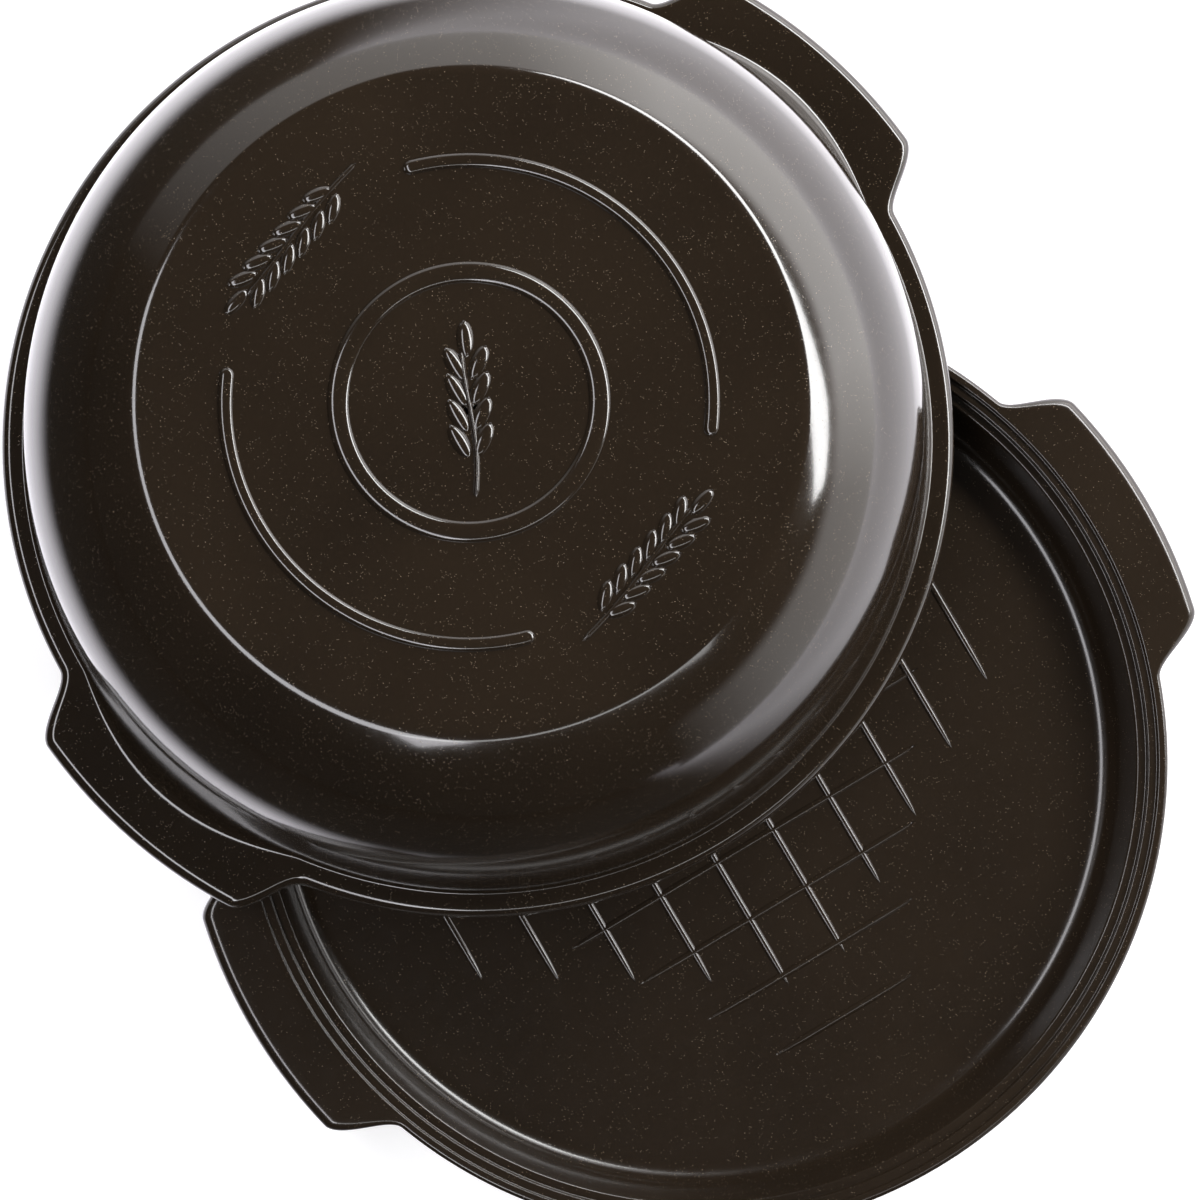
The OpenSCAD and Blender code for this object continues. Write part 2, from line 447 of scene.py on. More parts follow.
@dataclass(frozen=True)
class Speckle:
    """Shared pattern of the speckled glaze. Scales are per metre.

    Fine light grains and rare larger flecks come from thresholds on cell noise: each row of
    flecks holds the cells' scale and the fleck's radius as a share of a cell. The body colour
    drifts slowly. The height is a soft ripple with small pits under the flecks.
    """

    drift_scale: float = 14.0
    drift_share: float = 0.9
    flecks: tuple[tuple[float, float], ...] = ((1500.0, 0.20), (620.0, 0.11))
    choice_scale: float = 0.31
    choice_above: float = 0.56
    grain_scale: float = 900.0
    grain_share: float = 0.55
    matt_scale: float = 220.0
    matt_share: float = 0.07
    fleck_matt: float = 0.15
    wave_scale: float = 55.0
    fine_scale: float = 700.0
    fine_height: float = 0.05
    pit: float = 0.2

    def tree(self) -> bpy.types.NodeTree:
        """Empty node group with the pattern's inputs and outputs."""
        made = bpy.data.node_groups.new("speckled_glaze", "ShaderNodeTree")
        made.interface.new_socket("Position", in_out="INPUT", socket_type="NodeSocketVector")
        for name in ("Deep", "Warm", "Fleck"):
            made.interface.new_socket(name, in_out="INPUT", socket_type="NodeSocketColor")
        for name in ("Fleck Amount", "Gloss", "Ripple"):
            made.interface.new_socket(name, in_out="INPUT", socket_type="NodeSocketFloat")
        made.interface.new_socket("Color", in_out="OUTPUT", socket_type="NodeSocketColor")
        for name in ("Roughness", "Height"):
            made.interface.new_socket(name, in_out="OUTPUT", socket_type="NodeSocketFloat")
        return made

    def group(self) -> bpy.types.NodeTree:
        """Node group that gives colour, roughness and surface height at a position."""
        tree = self.tree()
        n = Nodes(tree)
        given = n.add("NodeGroupInput").outputs
        out = n.add("NodeGroupOutput").inputs
        where = given["Position"]
        drift = n.noise(where, self.drift_scale, 4.0)
        body = n.mix(n.math("MULTIPLY", drift, self.drift_share), given["Deep"], given["Warm"])
        spots = []
        for scale, limit in self.flecks:
            cells = n.add("ShaderNodeTexVoronoi", feature="F1")
            cells.inputs["Scale"].default_value = scale
            n.link(where, cells.inputs["Vector"])
            near = n.math("SUBTRACT", limit, cells.outputs["Distance"])
            spot = n.math("MULTIPLY", n.math("MAXIMUM", near, 0.0), 1.0 / limit)
            choice = n.noise(where, scale * self.choice_scale, 1.0)
            spots.append(n.math("MULTIPLY", spot, n.math("GREATER_THAN", choice, self.choice_above)))
        fleck = n.math("MULTIPLY", n.math("MAXIMUM", *spots), given["Fleck Amount"])
        grain = n.noise(where, self.grain_scale, 3.0)
        grainy = n.math("MULTIPLY", n.math("MULTIPLY", grain, grain), self.grain_share)
        n.link(n.mix(fleck, n.mix(grainy, body, given["Warm"]), given["Fleck"]), out["Color"])
        matt = n.math("MULTIPLY", n.noise(where, self.matt_scale, 3.0), self.matt_share)
        dull = n.math("MULTIPLY", fleck, self.fleck_matt)
        n.link(n.math("ADD", n.math("ADD", given["Gloss"], matt), dull), out["Roughness"])
        wave = n.math("MULTIPLY", n.noise(where, self.wave_scale), given["Ripple"])
        fine = n.math("MULTIPLY", n.noise(where, self.fine_scale), self.fine_height)
        pits = n.math("MULTIPLY", fleck, self.pit)
        n.link(n.math("SUBTRACT", n.math("ADD", wave, fine), pits), out["Height"])
        return tree


def principled(name: str) -> tuple[bpy.types.Material, Nodes, bpy.types.Node]:
    """New material, the short forms for its nodes, and its main shader."""
    made = bpy.data.materials.new(name)
    made.use_nodes = True
    return made, Nodes(made.node_tree), made.node_tree.nodes["Principled BSDF"]


@dataclass(frozen=True)
class Glaze:
    """Glossy dark glaze with light flecks."""

    name: str
    deep: Color = (0.0075, 0.0050, 0.0032, 1.0)
    warm: Color = (0.0240, 0.0160, 0.0095, 1.0)
    fleck: Color = (0.36, 0.28, 0.20, 1.0)
    amount: float = 1.0
    gloss: float = 0.09
    ripple: float = 0.55
    ior: float = 1.55
    coat: float = 0.35
    coat_roughness: float = 0.06
    bump_strength: float = 0.25
    bump_depth: float = 0.0004

    def material(self, group: bpy.types.NodeTree) -> bpy.types.Material:
        """Material whose colour, roughness and bump come from the shared pattern."""
        made, n, shader = principled(self.name)
        glaze = n.add("ShaderNodeGroup", node_tree=group)
        n.link(n.place(), glaze.inputs["Position"])
        for name in ("Deep", "Warm", "Fleck", "Gloss", "Ripple"):
            glaze.inputs[name].default_value = getattr(self, name.lower())
        glaze.inputs["Fleck Amount"].default_value = self.amount
        n.link(glaze.outputs["Color"], shader.inputs["Base Color"])
        n.link(glaze.outputs["Roughness"], shader.inputs["Roughness"])
        normal = n.bump(glaze.outputs["Height"], self.bump_strength, self.bump_depth)
        n.link(normal, shader.inputs["Normal"])
        shader.inputs["IOR"].default_value = self.ior
        shader.inputs["Coat Weight"].default_value = self.coat
        shader.inputs["Coat Roughness"].default_value = self.coat_roughness
        return made


@dataclass(frozen=True)
class BareClay:
    """Unglazed clay of the foot ring: matt and warm, with fine grain. Scales are per metre."""

    name: str = "bare_clay"
    dark: Color = (0.20, 0.125, 0.075, 1.0)
    light: Color = (0.36, 0.25, 0.16, 1.0)
    tone_scale: float = 420.0
    matt: float = 0.62
    matt_change: float = 0.2
    matt_scale: float = 150.0
    grain_scale: float = 1100.0
    bump_strength: float = 0.4
    bump_depth: float = 0.0003

    def material(self) -> bpy.types.Material:
        """Material whose colour, roughness and bump come from noise."""
        made, n, shader = principled(self.name)
        where = n.place()
        tone = n.noise(where, self.tone_scale, 4.0)
        n.link(n.mix(tone, self.dark, self.light), shader.inputs["Base Color"])
        change = n.math("MULTIPLY", n.noise(where, self.matt_scale), self.matt_change)
        n.link(n.math("ADD", change, self.matt), shader.inputs["Roughness"])
        normal = n.bump(n.noise(where, self.grain_scale, 3.0), self.bump_strength, self.bump_depth)
        n.link(normal, shader.inputs["Normal"])
        return made


def dress_low_faces(piece: bpy.types.Object, below: float, inner: float, outer: float) -> None:
    """Gives the second material to faces near the ground between two radii about the origin.

    Args:
        piece: object whose faces are dressed.
        below: height in millimetres under which a face's middle lies.
        inner: smaller radius in millimetres.
        outer: larger radius in millimetres.
    """
    mesh = piece.data
    centres = np.empty(len(mesh.polygons) * 3)
    mesh.polygons.foreach_get("center", centres)
    x, y, z = centres.reshape(-1, 3).T / MM
    r = np.hypot(x, y)
    bare = (z < below) & (r > inner) & (r < outer)
    mesh.polygons.foreach_set("material_index", bare.astype(np.int32))


@dataclass
class Dish:
    """Low dish: foot ring, sloping wall, stepped rim with two grips, ridged floor.

    A bend is the distance of an arc's centre from the axis, its height and its radius.
    """

    glaze: bpy.types.Material
    clay: bpy.types.Material
    grips: Grips = field(default_factory=Grips)
    rim: float = 147.5
    height: float = 30.0
    floor: float = 8.0
    land: float = 144.3
    ledge: float = 141.2
    mouth: float = 137.7
    upper_drop: float = 1.5
    seat_drop: float = 4.0
    step_round: float = 0.6
    corner_round: float = 0.5
    mouth_round: float = 1.0
    recess: float = 1.5
    recess_radii: tuple[float, float] = (8.0, 96.0)
    recess_bend: Bend = (97.5, 0.9, 0.6)
    foot_inner_bend: Bend = (99.0, 0.9, 0.9)
    foot_outer_bend: Bend = (111.0, 0.9, 0.9)
    foot_hollow_bend: Bend = (114.0, 1.0, 1.0)
    belly_bend: Bend = (126.0, 8.0, 6.0)
    flank: tuple[tuple[float, float], ...] = ((136.5, 9.4), (141.8, 14.8))
    neck_bend: Bend = (142.4, 17.0, 2.0)
    neck: float = 144.8
    plate_low: float = 18.2
    plate_high: float = 20.0
    plate_rise_by: float = 0.625
    under_round: float = 2.4
    rim_round: float = 1.5
    grip_round: float = 2.0
    inner_bend_at: float = 126.2
    inner_round: float = 7.5
    floor_radii: tuple[float, float] = (122.0, 4.0)
    bare_below: float = 0.9
    bare_radii: tuple[float, float] = (96.0, 116.0)
    ridge: Ridge = Ridge(width=2.7, height=0.75, taper=16.0, power=2.0)
    ridge_pairs: int = 5
    ridge_step: float = 20.6
    ridge_reach: float = 4.0
    ridge_shorter: float = 0.62

    def underside(self, rows: RowStack) -> None:
        """Adds the recess, the foot ring and the sloping outside up to the neck."""
        rows.level(*self.recess_radii, 8, self.recess)
        rows.profile(arc(*self.recess_bend, 90.0, 0.0, 3))
        rows.profile(arc(*self.foot_inner_bend, 180.0, 270.0, 4)[1:])
        rows.profile(arc(*self.foot_outer_bend, 270.0, 340.0, 4))
        rows.profile(arc(*self.foot_hollow_bend, 150.0, 90.0, 3))
        rows.profile(arc(*self.belly_bend, 270.0, 312.0, 6))
        rows.profile(np.array(self.flank))
        rows.profile(arc(*self.neck_bend, 315.0, 345.0, 3))

    def plate(self, rows: RowStack) -> None:
        """Adds the rim and grips from the neck, round the edge, to the start of the steps.

        The lower face rises from the neck by a cubic step over the given share of its width.
        """
        theta = rows.theta
        edge, normal = self.grips.edge(theta, self.rim)
        low = outline(self.neck, theta)
        under = edge - normal * self.under_round
        for t in np.linspace(0.1, 1.0, 7):
            rise = (self.plate_high - self.plate_low) * smooth(np.array(t / self.plate_rise_by))
            rows.flat(low * (1 - t) + under * t, self.plate_low + rise)
        rows.lower_edge(edge, normal, self.under_round, self.plate_high, 15.0, 6)
        rounding = self.rim_round + self.grip_round * self.grips.share(theta)
        rows.upper_edge(edge, normal, rounding, self.height, 9)
        shoulder = edge - normal * rounding[:, None]
        land = outline(self.land + self.step_round, theta)
        rows.blend(shoulder, land, np.linspace(0.15, 1.0, 7), self.height)

    def inside(self, rows: RowStack) -> None:
        """Adds the two steps that the cover seats on, the inner wall and the floor."""
        r, c, m = self.step_round, self.corner_round, self.mouth_round
        ledge_z, seat_z = self.height - self.upper_drop, self.height - self.seat_drop
        rows.profile(arc(self.land + r, self.height - r, r, 115.0, 180.0, 4))
        rows.profile(arc(self.land - c, ledge_z + c, c, 0.0, -90.0, 4))
        rows.profile(arc(self.ledge + r, ledge_z - r, r, 90.0, 180.0, 4))
        rows.profile(arc(self.ledge - r, seat_z + r, r, 0.0, -90.0, 4))
        rows.profile(arc(self.mouth + m, seat_z - m, m, 90.0, 170.0, 5))
        bend = self.inner_round
        rows.profile(arc(self.inner_bend_at, self.floor + bend, bend, -14.0, -90.0, 12))
        rows.level(*self.floor_radii, 16, self.floor)

    def body(self) -> bpy.types.Object:
        """Whole dish as one closed surface, from the middle of the foot to that of the floor."""
        rows = RowStack(self.grips.angles(), self.recess)
        self.underside(rows)
        self.plate(rows)
        self.inside(rows)
        verts, faces = rows.surface(self.floor)
        return mesh_object("dish_body", verts * MM, faces)

    def ridges(self) -> bpy.types.Object:
        """Two crossing families of low ridges, shorter towards the wall."""
        parts = []
        for turn in (0, 1):
            for i in range(self.ridge_pairs):
                for side in (-1.0, 1.0):
                    reach = self.ridge_step * (self.ridge_reach - self.ridge_shorter * (i + 0.5))
                    s = np.linspace(-reach, reach, 40)
                    line = np.column_stack([s, np.full(len(s), side * self.ridge_step * (i + 0.5))])
                    path = line[:, ::-1] if turn else line
                    parts.append(self.ridge.along(path, self.floor))
        verts, faces = joined(parts)
        return mesh_object("dish_floor_ridges", verts * MM, faces)

    def build(self) -> list[bpy.types.Object]:
        """Makes and dresses the dish's pieces.

        Returns:
            The pieces, riding on the dish's body.
        """
        body, ridges = self.body(), self.ridges()
        for piece in (body, ridges):
            piece.data.materials.append(self.glaze)
            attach(piece, "dish")
        body.data.materials.append(self.clay)
        dress_low_faces(body, self.bare_below, *self.bare_radii)
        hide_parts("dish")
        return [body, ridges]


@dataclass(frozen=True)
class Ear:
    """Ear of wheat: a stalk, grains in leaning pairs and one at the tip.

    The sizes are in millimetres and grow with the scale, and the lean is in degrees. The tip
    and the tail are counted in steps from one pair to the next.
    """

    centre: tuple[float, float]
    turn: float
    pairs: int = 6
    scale: float = 1.0
    step: float = 6.9
    grain_half: float = 5.0
    grain_width: float = 4.8
    grain_side: float = 3.2
    grain_lean: float = 27.0
    tip: float = 0.45
    tail: float = 1.7
    bend: float = 1.2
    height: float = 1.3
    stalk: Ridge = Ridge(width=1.9, height=1.0, taper=1.5, power=2.0)

    def meshes(self, z: float) -> list[tuple[np.ndarray, np.ndarray]]:
        """Meshes of the grains and the stalk on a surface of the given height.

        The stalk bends sideways as a sine of its length.
        """
        k = self.scale
        grain = Ridge(self.grain_width * k, self.height, self.grain_half * k, power=2.0)
        a = math.radians(self.turn)
        spin = np.array([[math.cos(a), math.sin(a)], [-math.sin(a), math.cos(a)]])
        step = self.step * k
        s = np.linspace(-self.grain_half, self.grain_half, 13)[:, None] * k
        parts = []
        for i in range(self.pairs):
            for side in (-1.0, 1.0):
                lean = math.radians(self.grain_lean * side)
                middle = np.array([step * (i - self.pairs / 2 + 0.5), side * self.grain_side * k])
                path = middle + s * np.array([math.cos(lean), math.sin(lean)])
                parts.append(grain.along(path @ spin + self.centre, z))
        top = np.array([step * (self.pairs / 2 + self.tip), 0.0]) + s * np.array([1.0, 0.0])
        parts.append(grain.along(top @ spin + self.centre, z))
        run = np.linspace(-step * (self.pairs / 2 + self.tail), step * self.pairs / 2, 40)
        sway = self.bend * k * np.sin(run / (step * self.pairs) * math.pi)
        parts.append(self.stalk.along(np.column_stack([run, sway]) @ spin + self.centre, z))
        return parts


@dataclass
class Dome:
    """Tall cover: lip, flange with two grips, swelling wall, shoulder and ornamented crown."""

    glaze: bpy.types.Material
    grips: Grips = field(default_factory=Grips)
    rim: float = 149.0
    height: float = 110.0
    flange: float = 9.0
    wall: float = 7.0
    wall_base: float = 141.6
    lip_outer: float = 140.9
    lip_depth: float = 3.7
    lip_inner_round: float = 1.2
    lip_outer_round: float = 1.0
    lip_corner: float = 0.5
    flange_start: float = 142.6
    under_round: float = 1.6
    rim_round: float = 2.8
    grip_round: float = 0.6
    draft: float = 2.5
    shoulder: float = 66.0
    slope: float = 28.0
    crown_round: float = 8.0
    crown_middle: float = 4.0
    hollow_radii: tuple[float, float] = (8.0, 90.0)
    hollow_start: float = 4.0
    hollow_flank: tuple[tuple[float, float], ...] = ((0.1, 30.0), (0.0, 9.0), (0.0, 0.0))
    swell: float = 3.4
    swell_width: float = 18.5
    swell_power: float = 1.3
    swell_height: float = 40.0
    swell_fall: float = 1.2
    fillet: float = 1.1
    grip_fillet: float = 3.4
    lean_distance: float = 122.2
    lean_side: float = 94.25
    spin: float = 17.95
    dish_height: float = 30.0
    dish_rim: float = 146.0
    rest_gap: float = 0.3
    bar: Ridge = Ridge(width=4.9, height=1.2, taper=2.6, power=3.4)
    bar_radius: float = 74.6
    bar_half: float = 57.0
    hoop: Ridge = Ridge(width=6.9, height=1.2, taper=1.0, power=3.4, across=15)
    hoop_radius: float = 40.05
    wheat: tuple[Ear, ...] = (
        Ear((0.0, 0.0), 45.0, pairs=4, scale=1.15),
        Ear((0.0, 74.0), 180.0),
        Ear((0.0, -74.0), 0.0),
    )

    def pose(self) -> Matrix:
        """Place of the tipped cover.

        The plane below the lip touches the dish's rim where the lip's inner circle crosses it,
        at y = (R^2 - r^2 + d^2) / 2d, and the table at the lip's far outer edge. The lean is the
        angle of that plane, found by repeating tan(lean) = height / (far - y).
        """
        d, inner = self.lean_distance, self.wall_base - self.wall
        near = (self.dish_rim ** 2 - inner ** 2 + d ** 2) / (2 * d)
        lean = math.radians(10.0)
        for _ in range(8):
            far = d + self.lip_outer * math.cos(lean)
            lean = math.atan((self.dish_height + self.rest_gap) / (far - near))
        side = math.radians(self.lean_side)
        up = self.lip_outer * math.sin(lean) + self.lip_depth * math.cos(lean)
        place = Matrix.Translation(Vector((d * math.cos(side), d * math.sin(side), up)) * MM)
        tip = Matrix.Rotation(lean, 4, Vector((-math.sin(side), math.cos(side), 0.0)))
        return place @ tip @ Matrix.Rotation(math.radians(self.spin), 4, "Z")

    def placed(self, name: str, verts: np.ndarray, faces: np.ndarray) -> bpy.types.Object:
        """Mesh object from the cover's own millimetres, moved to the tipped pose in its points."""
        m = np.array(self.pose())
        world = (verts * MM) @ m[:3, :3].T + m[:3, 3]
        return mesh_object(name, world, faces)

    def section(self) -> tuple[float, float, float, float]:
        """Centre of the shoulder's arc, its upper angle, and the radius of the flat crown."""
        top = 90.0 - self.slope
        a, b = math.radians(top), math.radians(self.draft)
        edge_z = self.height - self.crown_round * (1 - math.sin(a))
        z = edge_z - self.shoulder * math.sin(a)
        wall_z = z + self.shoulder * math.sin(b)
        x = self.wall_base - (wall_z - self.flange) * math.tan(b) - self.shoulder * math.cos(b)
        return x, z, top, x + (self.shoulder - self.crown_round) * math.cos(a)

    def inside(self, rows: RowStack) -> None:
        """Adds the hollow from its ceiling down, and the lip."""
        x, z, _, _ = self.section()
        inner, ceiling = self.wall_base - self.wall, self.height - self.wall
        reach = self.shoulder - self.wall
        start = math.degrees(math.asin((ceiling - z) / reach)) - self.hollow_start
        rows.level(*self.hollow_radii, 8, ceiling)
        rows.profile(arc(x, z, reach, start, self.draft, 18))
        rows.profile(np.array(self.hollow_flank) + [inner, 0.0])
        r, q, c = self.lip_inner_round, self.lip_outer_round, self.lip_corner
        rows.profile(arc(inner + r, r - self.lip_depth, r, 180.0, 270.0, 5))
        rows.profile(arc(self.lip_outer - q, q - self.lip_depth, q, 270.0, 360.0, 5))
        rows.profile(arc(self.lip_outer + c, -c, c, 180.0, 90.0, 3))

    def rim_and_wall(self, rows: RowStack) -> None:
        """Adds the flange with its grips, and the wall up to the shoulder.

        The wall's foot swells out over each grip by a share that falls as (1 - (a / width)^2)^p
        to either side, and as (1 - height / swell_height)^q up the wall.
        """
        theta = rows.theta
        edge, normal = self.grips.edge(theta, self.rim)
        across = self.grips.off_axis(theta) / self.swell_width
        bulge = np.clip(1.0 - across ** 2, 0.0, 1.0) ** self.swell_power
        under = edge - normal * self.under_round
        rows.blend(outline(self.flange_start, theta), under, np.linspace(0.0, 1.0, 6), 0.0)
        rows.lower_edge(edge, normal, self.under_round, 0.0, 20.0, 5)
        rounding = self.rim_round + self.grip_round * self.grips.share(theta)
        rows.upper_edge(edge, normal, rounding, self.flange, 10)
        foot = self.wall_base + self.swell * bulge
        fillet = self.fillet + self.grip_fillet * bulge
        base = outline(foot + fillet, theta)
        rows.blend(edge - normal * rounding[:, None], base, np.linspace(0.12, 1.0, 8), self.flange)
        for a in np.radians(np.linspace(12.0, 90.0, 8)):
            rows.ring(foot + fillet * (1 - math.sin(a)), self.flange + fillet * (1 - math.cos(a)))
        draft = math.radians(self.draft)
        wall_z = self.section()[1] + self.shoulder * math.sin(draft)
        for t in np.linspace(0.08, 1.0, 14):
            height = (self.flange + fillet) * (1 - t) + wall_z * t
            above = height - self.flange
            fall = np.clip(1.0 - above / self.swell_height, 0.0, 1.0) ** self.swell_fall
            rows.ring(self.wall_base - above * math.tan(draft) + self.swell * bulge * fall, height)

    def body(self) -> bpy.types.Object:
        """Whole cover as one closed surface, from the middle of its hollow to that of its crown."""
        x, z, top, crown = self.section()
        rows = RowStack(self.grips.angles(), self.height - self.wall)
        self.inside(rows)
        self.rim_and_wall(rows)
        rows.profile(arc(x, z, self.shoulder, self.draft, top, 40)[1:])
        rows.profile(arc(crown, self.height - self.crown_round, self.crown_round, top, 90.0, 12)[1:])
        rows.level(crown - 2.0, self.crown_middle, 14, self.height)
        return self.placed("dome_body", *rows.surface(self.height))

    def bands(self) -> bpy.types.Object:
        """Two long raised arcs and the raised ring in the middle of the crown."""
        parts = []
        for turn in (0.0, 180.0):
            a = np.radians(np.linspace(turn - self.bar_half, turn + self.bar_half, 220))
            parts.append(self.bar.along(outline(self.bar_radius, a), self.height))
        a = np.radians(np.arange(0.0, 360.0, 1.5))
        parts.append(self.hoop.along(outline(self.hoop_radius, a), self.height, closed=True))
        return self.placed("dome_crown_bands", *joined(parts))

    def ears(self) -> bpy.types.Object:
        """Ears of wheat in the gaps between the arcs and inside the ring."""
        parts = [part for ear in self.wheat for part in ear.meshes(self.height)]
        return self.placed("dome_crown_ears", *joined(parts))

    def build(self) -> list[bpy.types.Object]:
        """Makes and dresses the cover's pieces.

        Returns:
            The pieces, riding on the cover's body.
        """
        body, bands, ears = self.body(), self.bands(), self.ears()
        for piece in (body, bands, ears):
            piece.data.materials.append(self.glaze)
            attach(piece, "dome")
        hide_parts("dome")
        return [body, bands, ears]


@dataclass(frozen=True)
class Camera:
    """The photograph's camera: almost straight above, far away and turned about its view.

    The place is in metres, the tilt in radians about the picture's own axes and the turn in
    degrees. The focal length is in pixels of a frame of the given width.
    """

    place: tuple[float, float, float] = (-0.2356, 0.3189, 4.5)
    tilt: tuple[float, float] = (0.02302, -0.07441)
    turn: float = 30.571
    focal_pixels: float = 14303.8
    frame_pixels: float = 1200.0
    sensor: float = 36.0
    clip_end: float = 50.0

    def right(self) -> Vector:
        """Direction to the right of the picture, in the plane of the floor."""
        s = math.radians(self.turn)
        return Vector((math.cos(s), -math.sin(s), 0.0))

    def down(self) -> Vector:
        """Direction to the foot of the picture, in the plane of the floor."""
        s = math.radians(self.turn)
        return Vector((-math.sin(s), -math.cos(s), 0.0))

    def build(self) -> bpy.types.Object:
        """Camera object: a level look down, then tilted a little about its own axes."""
        axis = Vector((-self.tilt[0], self.tilt[1], 0.0))
        back = Vector((0.0, 0.0, 1.0))
        level = Matrix((self.right(), -self.down(), back)).transposed()
        turned = level @ Matrix.Rotation(axis.length, 3, axis.normalized())
        data = bpy.data.cameras.new("camera")
        data.sensor_width = self.sensor
        data.sensor_fit = "HORIZONTAL"
        data.lens = self.focal_pixels / self.frame_pixels * self.sensor
        data.clip_end = self.clip_end
        camera = bpy.data.objects.new("camera", data)
        camera.matrix_world = Matrix.Translation(self.place) @ turned.to_4x4()
        bpy.context.scene.collection.objects.link(camera)
        bpy.context.scene.camera = camera
        return camera


@dataclass(frozen=True)
class Panel:
    """Soft light panel placed by its direction in the picture and its elevation, in degrees."""

    name: str
    picture_angle: float
    elevation: float
    distance: float
    size: tuple[float, float]
    radiance: float
    tint: tuple[float, float, float] = (1.0, 1.0, 1.0)
    aim: tuple[float, float, float] = (0.0, 0.06, 0.06)

    def build(self, camera: Camera) -> bpy.types.Object:
        """Area light whose power gives the stated radiance: power = pi * area * radiance."""
        a, e = math.radians(self.picture_angle), math.radians(self.elevation)
        level = camera.right() * math.cos(a) + camera.down() * math.sin(a)
        way = level * math.cos(e) + Vector((0.0, 0.0, math.sin(e)))
        data = bpy.data.lights.new(self.name, "AREA")
        data.shape = "RECTANGLE"
        data.size, data.size_y = self.size
        data.energy = math.pi * self.size[0] * self.size[1] * self.radiance
        data.color = self.tint
        lamp = bpy.data.objects.new(self.name, data)
        lamp.location = Vector(self.aim) + way * self.distance
        lamp.rotation_euler = way.to_track_quat("Z", "Y").to_euler()
        lamp.visible_camera = False
        bpy.context.scene.collection.objects.link(lamp)
        return lamp


@dataclass(frozen=True)
class SoftBand:
    """Curved card of light round one side of the picture, fading towards its ends and its top.

    Each stop is an angle in the picture, in degrees, and the card's brightness there.
    """

    radius: float = 1.6
    height: float = 0.95
    radiance: float = 4.6
    fade_from: float = 0.72
    spans: int = 60
    centre: tuple[float, float] = (0.0, 0.06)
    tint: Color = (1.0, 0.98, 0.97, 1.0)
    stops: tuple[tuple[float, float], ...] = (
        (-150.0, 0.0),
        (-118.0, 0.26),
        (-88.0, 0.42),
        (-66.0, 1.0),
        (-18.0, 0.9),
        (4.0, 0.40),
        (34.0, 0.26),
        (58.0, 0.0),
    )

    def share(self, n: Nodes, camera: Camera) -> bpy.types.NodeSocket:
        """Brightness from 0 to 1: the stops over the picture angle, times the fade at the top."""
        away = n.away(n.place(), self.centre)
        angle = n.math("ARCTAN2", n.dot(away, camera.down()), n.dot(away, camera.right()))
        first, last = self.stops[0][0], self.stops[-1][0]
        ramp = n.add("ShaderNodeValToRGB")
        n.link(n.span(angle, (math.radians(first), math.radians(last)), kind="LINEAR"), ramp.inputs["Fac"])
        marks = ramp.color_ramp.elements
        for turn, value in self.stops[1:-1]:
            marks.new((turn - first) / (last - first)).color = (value, value, value, 1.0)
        marks[0].color = marks[-1].color = BLACK
        up = n.dot(away, Vector((0.0, 0.0, 1.0)))
        fade = n.span(up, (self.height * self.fade_from, self.height), (1.0, 0.0))
        return n.math("MULTIPLY", ramp.outputs["Color"], fade)

    def light(self, camera: Camera) -> bpy.types.Material:
        """Plain light of the card's tint, as bright as its share says."""
        made = bpy.data.materials.new("band_light")
        made.use_nodes = True
        made.node_tree.nodes.clear()
        n = Nodes(made.node_tree)
        glow = n.add("ShaderNodeEmission")
        glow.inputs["Color"].default_value = self.tint
        n.link(n.math("MULTIPLY", self.share(n, camera), self.radiance), glow.inputs["Strength"])
        n.link(glow.outputs["Emission"], n.add("ShaderNodeOutputMaterial").inputs["Surface"])
        return made

    def build(self, camera: Camera) -> bpy.types.Object:
        """Wall of a cylinder from the floor up, seen only in reflections and as light."""
        a = np.radians(np.linspace(self.stops[0][0], self.stops[-1][0], self.spans + 1))
        right, down = np.array(camera.right())[:2], np.array(camera.down())[:2]
        ring = self.radius * (np.outer(np.cos(a), right) + np.outer(np.sin(a), down)) + self.centre
        low = np.column_stack([ring, np.zeros(len(a))])
        verts = np.concatenate([low, low + [0.0, 0.0, self.height]])
        i = np.arange(self.spans)
        faces = np.column_stack([i, i + 1, i + 1 + len(a), i + len(a)])
        mesh = bpy.data.meshes.new("band")
        mesh.from_pydata(verts.tolist(), [], faces.tolist())
        mesh.materials.append(self.light(camera))
        card = bpy.data.objects.new("band", mesh)
        bpy.context.scene.collection.objects.link(card)
        card.visible_camera = False
        return card


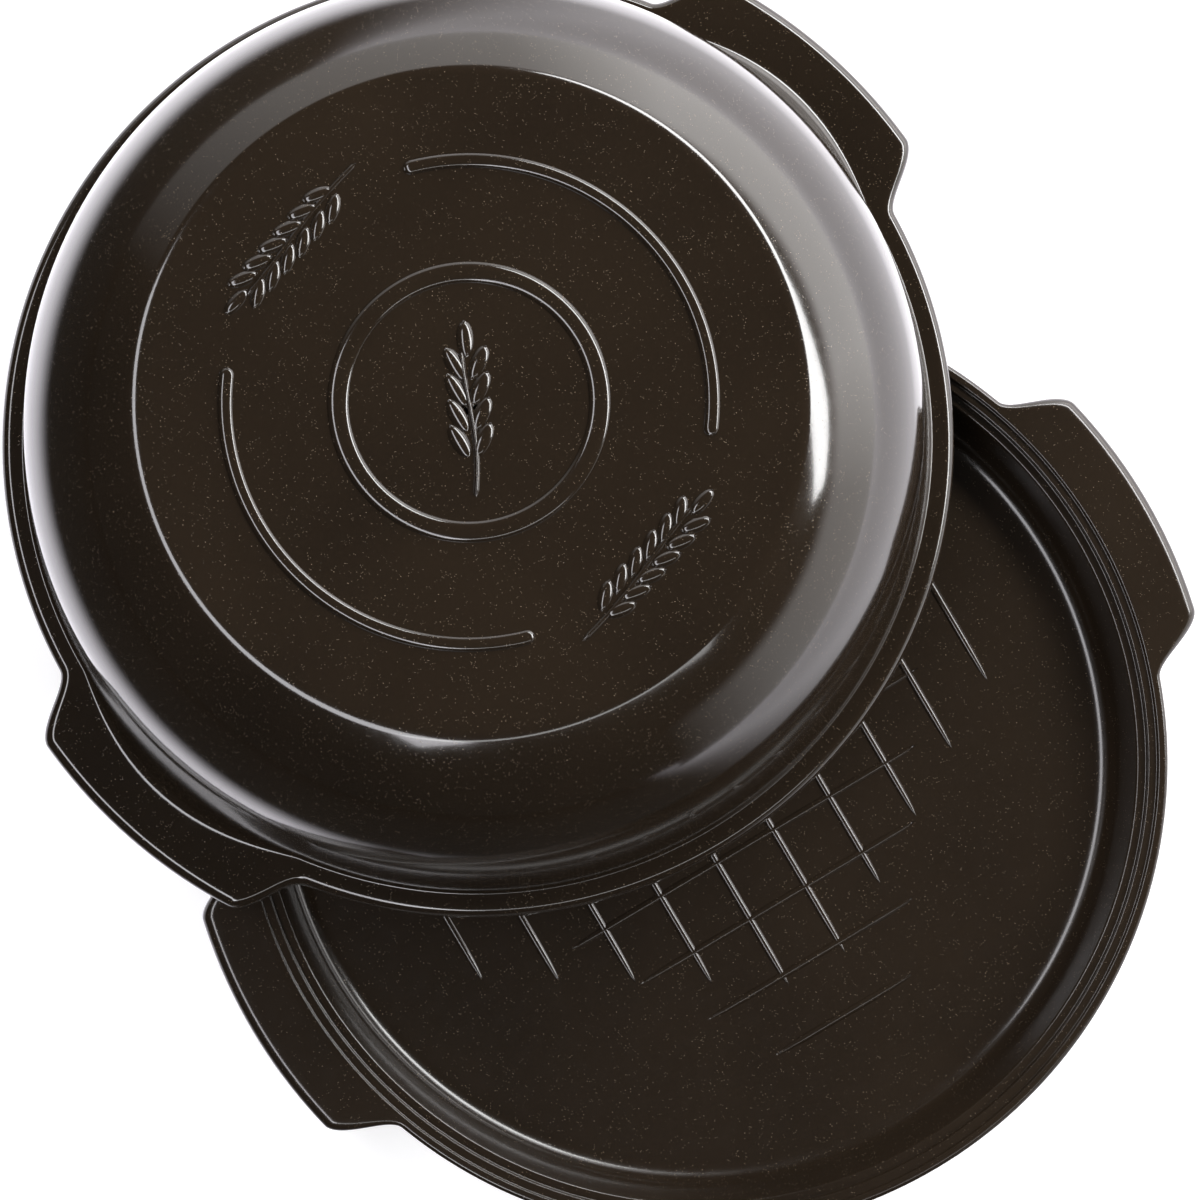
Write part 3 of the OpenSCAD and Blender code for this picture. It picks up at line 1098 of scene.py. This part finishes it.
@dataclass(frozen=True)
class Studio:
    """Pale floor, pale surroundings, the soft band and the soft panels. Lengths are metres."""

    floor_half: float = 6.0
    floor_drop: float = 0.0003
    # painted pool of light round the cover and painted bright sweep to one side, shown by the floor only in
    # reflections
    painted_pool_centre: tuple[float, float] = (-0.009, 0.122)
    painted_pool_radius: tuple[float, float] = (0.20, 0.275)
    painted_sweep_reach: tuple[float, float] = (0.02, 0.22)
    painted_sweep_share: float = 0.75
    painted_sweep_rise: float = 0.5
    fill_reach: tuple[float, float] = (0.5, 1.5)
    fill: tuple[float, float] = (0.5, 0.93)
    paper: Color = (0.86, 0.86, 0.86, 1.0)
    # painted dark and lit colours and painted glow of the floor, seen only in reflections
    painted_reflection_dark: Color = (0.02, 0.02, 0.02, 1.0)
    painted_reflection_lit: Color = (0.85, 0.84, 0.86, 1.0)
    painted_reflection_glow: Color = (2.0, 1.93, 2.1, 1.0)
    paper_roughness: float = 0.9
    paper_gloss: float = 0.1
    air: Color = (0.93, 0.93, 0.94, 1.0)
    air_mirrored: Color = (0.03, 0.03, 0.03, 1.0)
    panels: tuple[Panel, ...] = (
        Panel("panel_crown_edge", -42.0, 38.0, 1.7, (2.6, 0.34), 17.0),
        Panel("panel_left", 160.0, 61.0, 1.9, (2.8, 0.42), 7.0, (0.97, 0.96, 1.0)),
        Panel("panel_foot", 76.0, 56.0, 2.2, (2.0, 0.26), 4.0),
    )

    def painted_reflection_light(self, n: Nodes, camera: Camera) -> bpy.types.NodeSocket:
        """Painted light of the floor as reflections see it.

        It is a painted pool of light close to the cover and a painted bright sweep towards the
        upper right of the picture, and falls off to dark elsewhere, in place of a small lit sweep
        of paper in a dark room.
        """
        where = n.place()
        # painted pool of light round the cover
        near = n.span(n.length(n.away(where, self.painted_pool_centre)), self.painted_pool_radius, (1.0, 0.0))
        # painted bright sweep towards the upper right of the picture
        way = (camera.right() - camera.down() * self.painted_sweep_rise).normalized()
        painted_sweep = n.span(n.dot(where, way), self.painted_sweep_reach, (0.0, self.painted_sweep_share))
        return n.math("MAXIMUM", near, painted_sweep)

    def paper_material(self, camera: Camera) -> bpy.types.Material:
        """Pale paper to the eye, lit from within far from the object so that it stays pale.

        Reflections see painted light instead of the paper's colour: a colour between painted dark and
        painted lit, and a painted glow, both following the floor's painted pool of light.
        """
        made, n, shader = principled("floor_paper")
        ray = n.add("ShaderNodeLightPath")
        value = self.painted_reflection_light(n, camera)
        # painted reflection colour: painted dark, painted lit where the painted pool of light lies, used
        # for glossy rays only
        mirrored = n.mix(value, self.painted_reflection_dark, self.painted_reflection_lit)
        n.link(n.mix(ray.outputs["Is Glossy Ray"], self.paper, mirrored), shader.inputs["Base Color"])
        # painted glow of the painted pool of light, for glossy rays only; camera rays see plain white
        glow = n.mix(n.math("MULTIPLY", value, ray.outputs["Is Glossy Ray"]), BLACK, self.painted_reflection_glow)
        n.link(n.mix(ray.outputs["Is Camera Ray"], glow, WHITE), shader.inputs["Emission Color"])
        n.link(n.span(n.length(n.place()), self.fill_reach, self.fill), shader.inputs["Emission Strength"])
        shader.inputs["Roughness"].default_value = self.paper_roughness
        shader.inputs["Specular IOR Level"].default_value = self.paper_gloss
        return made

    def floor(self, camera: Camera) -> bpy.types.Object:
        """Large level floor just under the object."""
        h, z = self.floor_half, -self.floor_drop
        mesh = bpy.data.meshes.new("floor")
        mesh.from_pydata([(-h, -h, z), (h, -h, z), (h, h, z), (-h, h, z)], [], [(0, 1, 2, 3)])
        mesh.materials.append(self.paper_material(camera))
        sheet = bpy.data.objects.new("floor", mesh)
        bpy.context.scene.collection.objects.link(sheet)
        return sheet

    def surroundings(self) -> None:
        """Pale to the eye, and dim in reflections, as a dark studio is."""
        world = bpy.data.worlds.new("studio")
        bpy.context.scene.world = world
        world.use_nodes = True
        n = Nodes(world.node_tree)
        back = world.node_tree.nodes["Background"]
        ray = n.add("ShaderNodeLightPath")
        n.link(n.mix(ray.outputs["Is Camera Ray"], self.air_mirrored, self.air), back.inputs["Color"])
        back.inputs["Strength"].default_value = 1.0

    def build(self, camera: Camera) -> None:
        """Makes floor, surroundings, band and panels."""
        self.floor(camera)
        self.surroundings()
        SoftBand().build(camera)
        for panel in self.panels:
            panel.build(camera)
        bpy.context.scene.view_settings.view_transform = "Standard"


def main() -> None:
    """Builds the pieces, dresses them, and sets the studio and the camera."""
    logging.basicConfig(level=logging.INFO, format="%(name)s: %(message)s")
    camera = Camera()
    camera.build()
    group = Speckle().group()
    dish_glaze = Glaze(Slot.DISH.value, amount=0.8, gloss=0.16, coat=0.2)
    dome_glaze = Glaze(Slot.DOME.value)
    dish = Dish(dish_glaze.material(group), BareClay().material())
    dome = Dome(dome_glaze.material(group))
    for assembly in (dish, dome):
        for piece in assembly.build():
            LOG.info("%s: %d faces", piece.name, len(piece.data.polygons))
    Studio().build(camera)
    bpy.context.view_layer.update()


if __name__ == "__main__":
    main()
